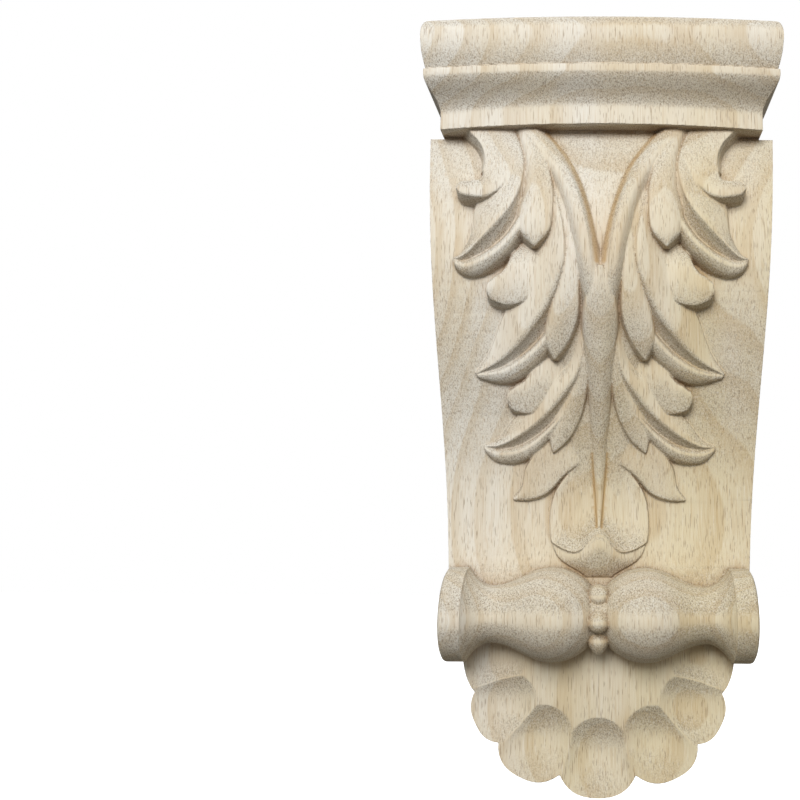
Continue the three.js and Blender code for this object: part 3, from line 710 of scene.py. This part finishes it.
# %% Stem
BRANCH = [
    [35.5, 117], [26.3, 104.4], [17.8, 93], [12.2, 82], [8.6, 70.6],
    [6.2, 59], [4.6, 47.4], [3.2, 36], [2, 25],
]
branch_half = eased([6, 5.8, 5.5, 5.2, 5, 5, 4.8, 4, 2.6], t)
branch_high = eased([7.4, 7.8, 8.4, 9.2, 10.1, 10.9, 11, 9.7, 7], t)
branch_valley = eased([5.4, 5.8, 6.2, 6.5, 6.8, 7, 7, 6.6, 5.6], t)
branch_foot = eased([4, 4.1, 4.4, 4.9, 5.4, 5.9, 8.2, 10.1, 7.6], t)
section = [
    (1.3 * branch_half, branch_valley - 0.9),
    (1.02 * branch_half, branch_valley - 0.3),
    (0.62 * branch_half, mix(branch_valley, branch_high, 0.62)),
    (0.3 * branch_half, branch_high - 0.15),
    (-0.1 * branch_half, branch_high),
    (-0.24 * branch_half, branch_high - 0.05),
    (-0.3 * branch_half, branch_high - 0.15),
    (-0.52 * branch_half, mix(branch_foot, branch_high, 0.68)),
    (-0.84 * branch_half, mix(branch_foot, branch_high, 0.24)),
    (-1.04 * branch_half, branch_foot - 0.3),
    (-1.1 * branch_half, branch_foot - 1.2),
]
mirrored(leaf("branch", *along(BRANCH, *across(section, BRANCH_POINTS))))

STALK_TOP, STALK_FOOT, STALK_ROUND = 47.5, -36.0, 0.65
stalk_half = eased([1.2, 4.8, 6.3, 6.3, 5.7, 4.9, 4, 3.1, 2.2, 1.3], t)
stalk_high = eased([10.8, 10.8, 10.2, 9.5, 8.8, 7.7, 6.4, 5, 3.9, 3.2], t)
stalk_fall = eased([0.6, 1.4, 2.4, 3.4, 4, 3.8, 2.9, 2.1, 1.4, 0.8], t)
rounding = 1 - np.maximum(0, np.cos(sides * math.pi / 2)) ** STALK_ROUND
stalk_top = stalk_high[:, None] - np.outer(stalk_fall, rounding)
leaf("stalk", *spread(sides, stalk_half, mix(STALK_TOP, STALK_FOOT, t), stalk_top))

KEEL_TOP, KEEL_FOOT, KEEL_FALL = -22.0, -50.5, 0.5
keel_half = eased([2.5, 1.9, 1.2, 0.6], t)
keel_high = eased([3.6, 3.1, 3.3, 4.7], t)
keel_z = mix(KEEL_TOP, KEEL_FOOT, t)
leaf("keel", *spread(sides, keel_half, keel_z, np.outer(keel_high, level_across) - KEEL_FALL * sides**2))
print("stem and keel laid")

# %% [markdown]
# The bud has two faces that share the line of its lip. The petal above is hollow on both sides of its middle
# and rises to the lip. The underside falls away from the lip behind a thin rim, with a blunt nose in the
# middle.

# %% Bud
BUD_TOP, BUD_FOOT = -24.0, -69.4
BUD_HALF = [6, 12.6, 17, 18.7, 19, 18.2, 14.8, 5]
BUD_PEAK_H, BUD_LIP_H, BUD_SIDE_H, BUD_FOOT_H = 6.4, 4.4, 1.8, 0.4
LIP_Z, LIP_PEAK, LIP_CURL = -61.2, 8.6, 5.0
PETAL_TOP_H, PETAL_SIDE_FALL, PETAL_HOLLOW = 2.0, 0.5, 2.6
NOSE_H, RIM_CUT, RIM_WIDTH = 1.9, 1.0, 0.1
BUD_ACROSS, PETAL_STEPS, UNDER_STEPS = 61, 40, 45


def bump_at_middle(s, narrow):
    """A rounded bump of height 1 on the middle line, narrower for a larger number."""
    return np.exp(-((narrow * s) ** 2))


s = np.linspace(-1, 1, BUD_ACROSS)[None, :]
lip_z = LIP_Z + LIP_PEAK * bump_at_middle(s, 2.9) + LIP_CURL * np.abs(s) ** 3
lip_h = mix(BUD_LIP_H, BUD_SIDE_H, s * s) + (BUD_PEAK_H - BUD_LIP_H) * bump_at_middle(s, 3.2)
u = np.linspace(0, 1, PETAL_STEPS)[:, None]
v = np.linspace(0, 1, UNDER_STEPS)[1:, None]
petal_z = mix(BUD_TOP, lip_z, 1 - (1 - u) ** 1.3)
petal_hollow = PETAL_HOLLOW * np.abs(s) * (1 - s * s) * np.sin(math.pi * u)
petal_h = mix(PETAL_TOP_H - PETAL_SIDE_FALL * s * s, lip_h, u**5) - petal_hollow
under_z = mix(lip_z, BUD_FOOT, v**1.15)
nose = NOSE_H * bump_at_middle(s, 2.6) * np.sin(math.pi * v**0.7)
rim_cut = RIM_CUT * smoothstep(v / RIM_WIDTH) * (1 - v)
under_h = mix(BUD_FOOT_H, lip_h, (1 - v**1.3) ** 0.7) + nose - rim_cut
bud_z = np.concatenate([petal_z, under_z])
bud_h = np.concatenate([petal_h, under_h])
bud_x = s * eased(BUD_HALF, (BUD_TOP - bud_z) / (BUD_TOP - BUD_FOOT))
leaf("bud", bud_x, bud_z, bud_h)
print("bud of", bud_x.size, "points")

# %% [markdown]
# ## One block again
# All forms are joined and remeshed with small voxels. That drops everything inside, leaves one closed skin,
# and rounds the corners. A light smooth takes off the voxel steps, and a Decimate modifier spends the
# triangles where the surface bends and saves them on the flat back and sides.

# %% Fuse
VOXEL = 0.4
TRIANGLES = 190000
SOFTEN_SHARE, SOFTEN_ROUNDS = 0.5, 2
SHARP_FROM = 50
deselect()
for form in carved:
    form.select_set(True)
bpy.context.view_layer.objects.active = carved[0]
bpy.ops.object.join()
onlay = bpy.context.object
onlay.name = "onlay_carving"
onlay.data.name = "onlay_carving"
onlay.data.remesh_voxel_size = VOXEL * MM
onlay.data.remesh_voxel_adaptivity = 0.0
onlay.data.use_remesh_fix_poles = False
bpy.ops.object.voxel_remesh()
print("remeshed to", len(onlay.data.polygons), "faces")

soften = onlay.modifiers.new("soften", "SMOOTH")
soften.factor = SOFTEN_SHARE
soften.iterations = SOFTEN_ROUNDS
bpy.ops.object.modifier_apply(modifier=soften.name)
thin = onlay.modifiers.new("thin", "DECIMATE")
thin.ratio = TRIANGLES / (2 * len(onlay.data.polygons))
bpy.ops.object.modifier_apply(modifier=thin.name)
bpy.ops.object.shade_smooth_by_angle(angle=math.radians(SHARP_FROM))
print("thinned to", sum(len(p.vertices) - 2 for p in onlay.data.polygons), "triangles")

# %% [markdown]
# The V-cuts along the fork and the keel are burnished brown by the tool, and the same brown paints in the
# shade on their walls. Each point of the mesh gets a number from 0 to 1 that says how near it lies to such a
# cut, stored as an attribute for the wood material to read.

# %% Burnished and shaded cuts
CUT_CORE, CUT_REACH = 0.5, 1.6
FORK_CUT_PLACE, FORK_CUT_TOP, FORK_CUT_FOOT = -0.72, CAP_UNDERSIDE - 2, FORK_FOOT - 5
KEEL_CUT_OUT, KEEL_CUT_NARROW = 0.4, 2.2
BACK_CLEAR = 8.0
fork_x, fork_z = along(BRANCH, FORK_CUT_PLACE * branch_half[:, None], 0)[:2]
fork_cut = np.concatenate([fork_x, fork_z], axis=1)
fork_cut = fork_cut[(fork_cut[:, 1] > FORK_CUT_FOOT) & (fork_cut[:, 1] < FORK_CUT_TOP)]
keel_cut = np.stack([keel_half + KEEL_CUT_OUT, keel_z], axis=-1)
points = np.empty(3 * len(onlay.data.vertices))
onlay.data.vertices.foreach_get("co", points)
points = points.reshape(-1, 3) / MM
spot = np.stack([np.abs(points[:, 0]), points[:, 2]], axis=-1)
near = np.full(len(spot), CUT_REACH)
for cut, narrow in ((fork_cut, 1.0), (keel_cut, KEEL_CUT_NARROW)):
    for x, z in cut:
        near = np.minimum(near, narrow * np.hypot(spot[:, 0] - x, spot[:, 1] - z))
# Tool burnish and painted shade on the V-cut walls share this one number.
burnish_and_shade = 1 - smoothstep((near - CUT_CORE) / (CUT_REACH - CUT_CORE))
burnish_and_shade[points[:, 1] > -BACK_CLEAR] = 0
onlay.data.attributes.new("burnish_and_shade", "FLOAT", "POINT").data.foreach_set("value", burnish_and_shade)
print("burnished points:", int((burnish_and_shade > 0.1).sum()))

# %% [markdown]
# ## Raw wood
# The wood is pale and unfinished. It is one solid texture on Object coordinates, so the grain runs through
# the block: long pores along Z show as streaks where a face follows the grain and as dots where it cuts
# across, and growth layers bend round a far centre behind the back, which draws bands on the front and lines
# on the sides. A few short helpers keep the node lists readable.

# %% Node helpers
def node(tree, kind, inputs=(), **settings):
    """Adds a node, sets its fields, and fills its inputs with values or links."""
    made = tree.nodes.new(kind)
    for key, value in settings.items():
        setattr(made, key, value)
    for key, value in dict(inputs).items():
        if isinstance(value, bpy.types.NodeSocket):
            tree.links.new(value, made.inputs[key])
        else:
            made.inputs[key].default_value = value
    return made


def calc(tree, operation, *values):
    return node(tree, "ShaderNodeMath", enumerate(values), operation=operation).outputs[0]


def ramp(tree, value, low, high, to_low=0.0, to_high=1.0):
    """A soft step of a value between two limits."""
    limits = {"Value": value, "From Min": low, "From Max": high, "To Min": to_low, "To Max": to_high}
    return node(tree, "ShaderNodeMapRange", limits, interpolation_type="SMOOTHSTEP").outputs["Result"]


def stretched(tree, place, scale):
    return node(tree, "ShaderNodeVectorMath", {0: place, 1: scale}, operation="MULTIPLY").outputs[0]


def noise(tree, place, detail=2.0):
    return node(tree, "ShaderNodeTexNoise", {"Vector": place, "Scale": 1.0, "Detail": detail}).outputs[0]


def tinted(tree, factor, under, over, blend="MIX"):
    """One colour over another by a factor, mixed or multiplied."""
    fields = {MIX_FACTOR: factor, MIX_FIRST: under, MIX_SECOND: over}
    return node(tree, "ShaderNodeMix", fields, data_type="RGBA", blend_type=blend).outputs[MIX_RESULT]


print("helpers ready")

# %% [markdown]
# The figure of the wood is a node group: it takes a place in mm and gives a colour and how open the pores are
# there. Growth layers are the distance to the far centre, folded into even steps and warped a little. The
# tone leans to yellow at the lower right and to white at the upper left, partly the wood's own tone and
# partly
# painted light: cool light from above and warm light from the right. Pores are cells of a Voronoi texture,
# stretched along the grain, and only some of the cells hold a pore.

# %% Wood figure
PITH = (14.0, 120.0, 0.0)
LAYER, LAYER_WARP, LATE_SHARE = 4.4, 7.0, 0.6
PALE, YELLOW, WHITISH = (0.765, 0.695, 0.56, 1), (0.735, 0.65, 0.455, 1), (0.805, 0.77, 0.69, 1)
LATE, LAYER_TONE, PORE_BROWN = (0.84, 0.75, 0.62, 1), (0.95, 0.93, 0.9, 1), (0.36, 0.24, 0.14, 1)
FIBRE_DARK, FIBRE_LIGHT = (0.78, 0.66, 0.52, 1), (0.84, 0.78, 0.7, 1)
# How fast a noise changes per mm along x, y and z: slowest along the grain.
WARP_SCALE, TINT_SCALE, FIBRE_SCALE = (0.03, 0.03, 0.008), (0.035, 0.035, 0.006), (2.2, 2.2, 0.07)
LEAN_UP, LEAN_RIGHT, LEAN_RIGHT_UP = -0.0014, 0.0032, -0.000012
PORE_SHARE = 0.55

figure = bpy.data.node_groups.new("wood_figure", "ShaderNodeTree")
figure.interface.new_socket("Place", in_out="INPUT", socket_type="NodeSocketVector")
figure.interface.new_socket("Color", in_out="OUTPUT", socket_type="NodeSocketColor")
figure.interface.new_socket("Pores", in_out="OUTPUT", socket_type="NodeSocketFloat")
place = figure.nodes.new("NodeGroupInput").outputs["Place"]
result = figure.nodes.new("NodeGroupOutput")

warp = calc(figure, "SUBTRACT", noise(figure, stretched(figure, place, WARP_SCALE), 1.0), 0.5)
flat_place = stretched(figure, place, (1, 1, 0))
from_pith = {0: flat_place, 1: PITH}
radius = node(figure, "ShaderNodeVectorMath", from_pith, operation="DISTANCE").outputs["Value"]
layers = calc(figure, "DIVIDE", calc(figure, "MULTIPLY_ADD", warp, LAYER_WARP, radius), LAYER)
in_layer = calc(figure, "FRACT", layers)
late = calc(figure, "MULTIPLY", ramp(figure, in_layer, 0.3, 0.95), ramp(figure, in_layer, 1.0, 0.92))
layer_number = {"W": calc(figure, "FLOOR", layers)}
layer_tone = node(figure, "ShaderNodeTexWhiteNoise", layer_number, noise_dimensions="1D").outputs["Value"]

# Painted light in part: the lean below makes the upper left whiter and the lower right yellower.
across_tint = noise(figure, stretched(figure, place, TINT_SCALE))
apart = node(figure, "ShaderNodeSeparateXYZ", {0: place}).outputs
lower = calc(figure, "MULTIPLY_ADD", apart["Z"], LEAN_UP, across_tint)
to_right = calc(figure, "MULTIPLY_ADD", apart["Z"], LEAN_RIGHT_UP, LEAN_RIGHT)
lean = calc(figure, "MULTIPLY_ADD", apart["X"], to_right, lower)
colour = tinted(figure, ramp(figure, lean, 0.45, 0.8), PALE, YELLOW)
colour = tinted(figure, ramp(figure, lean, 0.5, 0.2), colour, WHITISH)
colour = tinted(figure, layer_tone, colour, LAYER_TONE, "MULTIPLY")
colour = tinted(figure, calc(figure, "MULTIPLY", late, LATE_SHARE), colour, LATE, "MULTIPLY")
fibre = noise(figure, stretched(figure, place, FIBRE_SCALE), 3.0)
colour = tinted(figure, ramp(figure, fibre, 0.45, 0.75, 0.0, 0.55), colour, FIBRE_DARK, "MULTIPLY")
colour = tinted(figure, ramp(figure, fibre, 0.42, 0.25, 0.0, 0.4), colour, FIBRE_LIGHT)


def pore_layer(wide, long, reach, share):
    """Pores of one size: cells of a given width and length, of which a share holds a pore."""
    cells = node(
        figure,
        "ShaderNodeTexVoronoi",
        {"Vector": stretched(figure, place, (1 / wide, 1 / wide, 1 / long)), "Scale": 1.0, "Randomness": 1.0},
    )
    drawn = node(figure, "ShaderNodeSeparateColor", {0: cells.outputs["Color"]}).outputs[0]
    chosen = calc(figure, "LESS_THAN", drawn, share)
    return calc(figure, "MULTIPLY", chosen, ramp(figure, cells.outputs["Distance"], reach, 0.5 * reach))


long_pores = pore_layer(wide=0.6, long=11.0, reach=0.3, share=0.5)
short_pores = pore_layer(wide=0.4, long=4.5, reach=0.3, share=0.4)
pores = calc(figure, "MAXIMUM", long_pores, short_pores)
colour = tinted(figure, calc(figure, "MULTIPLY", pores, PORE_SHARE), colour, PORE_BROWN)
figure.links.new(colour, result.inputs["Color"])
figure.links.new(pores, result.inputs["Pores"])
print("wood figure of", len(figure.nodes), "nodes")

# %% [markdown]
# Where a face cuts across the grain the fibres tear: light fuzz and dark pits stand side by side. The share
# of that comes from the upright part of the surface normal. Grooves and corners get painted shade: two
# Ambient Occlusion nodes darken the colour brown there, one for wide hollows and one for narrow corners.

# %% Wood material
TORN_FROM, TORN_FULL = 0.04, 0.32
SPECK_SCALE, RIPPLE_SCALE = (2.3, 2.3, 1.7), (2.6, 2.6, 0.12)
PIT_SHARE, FUZZ_SHARE = 0.8, 0.5
PIT_BROWN, FUZZ_WHITE, TORN_GREY = (0.38, 0.31, 0.235, 1), (0.87, 0.84, 0.77, 1), (0.85, 0.855, 0.86, 1)
# A brown for the tool burnish with painted shade on the V-cut walls, and browns of painted shade for hollows
# and corners.
BURNISH_AND_SHADE_BROWN, HOLLOW_SHADE_BROWN, CORNER_SHADE_BROWN = (0.83, 0.69, 0.51, 1), (0.58, 0.45, 0.34, 1), (0.5, 0.38, 0.28, 1)
# Each row of painted groove shade: reach in mm, the open share at which the shade is full, its strength and
# its colour.
PAINTED_GROOVE_SHADE = ((6.0, 0.35, 0.7, HOLLOW_SHADE_BROWN), (1.6, 0.4, 0.5, CORNER_SHADE_BROWN))
GROOVE_SHADE_FROM, GROOVE_SAMPLES = 0.95, 6
CUT_ROUGH, TORN_ROUGHER = 0.72, 0.12
TORN_RELIEF, PORE_RELIEF = 1.6, -0.8
BUMP_STRENGTH, BUMP_HEIGHT = 0.7, 0.2

wood = bpy.data.materials.new("raw_wood")
wood.use_nodes = True
tree = wood.node_tree
shader = tree.nodes["Principled BSDF"]
shader.inputs["Specular IOR Level"].default_value = 0.25

object_place = node(tree, "ShaderNodeTexCoord").outputs["Object"]
place = node(tree, "ShaderNodeVectorMath", {0: object_place, "Scale": 1 / MM}, operation="SCALE").outputs[0]
grain = node(tree, "ShaderNodeGroup", node_tree=figure)
tree.links.new(place, grain.inputs["Place"])
normal = node(tree, "ShaderNodeNewGeometry").outputs["Normal"]
facing = node(tree, "ShaderNodeSeparateXYZ", {0: normal}).outputs["Z"]
torn = ramp(tree, calc(tree, "ABSOLUTE", facing), TORN_FROM, TORN_FULL)
speckle = noise(tree, stretched(tree, place, SPECK_SCALE), 3.0)
dark_specks = calc(tree, "MULTIPLY", torn, ramp(tree, speckle, 0.5, 0.36))
light_specks = calc(tree, "MULTIPLY", torn, ramp(tree, speckle, 0.52, 0.66))
colour = tinted(tree, calc(tree, "MULTIPLY", dark_specks, PIT_SHARE), grain.outputs["Color"], PIT_BROWN)
colour = tinted(tree, calc(tree, "MULTIPLY", light_specks, FUZZ_SHARE), colour, FUZZ_WHITE)
burnished_and_shaded = node(tree, "ShaderNodeAttribute", attribute_name="burnish_and_shade").outputs["Fac"]
# Tool burnish with painted shade on the V-cut walls: one brown multiplied into the colour.
colour = tinted(tree, burnished_and_shaded, colour, BURNISH_AND_SHADE_BROWN, "MULTIPLY")
colour = tinted(tree, torn, colour, TORN_GREY, "MULTIPLY")
# Painted shade: each Ambient Occlusion node darkens the colour brown where a groove or corner closes in.
for reach, shut, share, shade_tone in PAINTED_GROOVE_SHADE:
    air = node(tree, "ShaderNodeAmbientOcclusion", {"Distance": reach * MM}, samples=GROOVE_SAMPLES)
    shaded_share = ramp(tree, air.outputs["AO"], GROOVE_SHADE_FROM, shut, 0.0, share)
    colour = tinted(tree, shaded_share, colour, shade_tone, "MULTIPLY")
tree.links.new(colour, shader.inputs["Base Color"])
rough = calc(tree, "MULTIPLY_ADD", torn, TORN_ROUGHER, CUT_ROUGH)
tree.links.new(rough, shader.inputs["Roughness"])
ripple = noise(tree, stretched(tree, place, RIPPLE_SCALE))
fine_height = calc(tree, "MULTIPLY_ADD", calc(tree, "MULTIPLY", torn, speckle), TORN_RELIEF, ripple)
height = calc(tree, "MULTIPLY_ADD", grain.outputs["Pores"], PORE_RELIEF, fine_height)
bump_sizes = {"Strength": BUMP_STRENGTH, "Distance": BUMP_HEIGHT * MM, "Height": height}
bump = node(tree, "ShaderNodeBump", bump_sizes)
tree.links.new(bump.outputs["Normal"], shader.inputs["Normal"])
onlay.data.materials.clear()
onlay.data.materials.append(wood)
print("raw wood of", len(tree.nodes), "nodes")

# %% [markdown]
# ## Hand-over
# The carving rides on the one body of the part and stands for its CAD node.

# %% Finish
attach(onlay, "root")
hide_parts("carved_onlay")
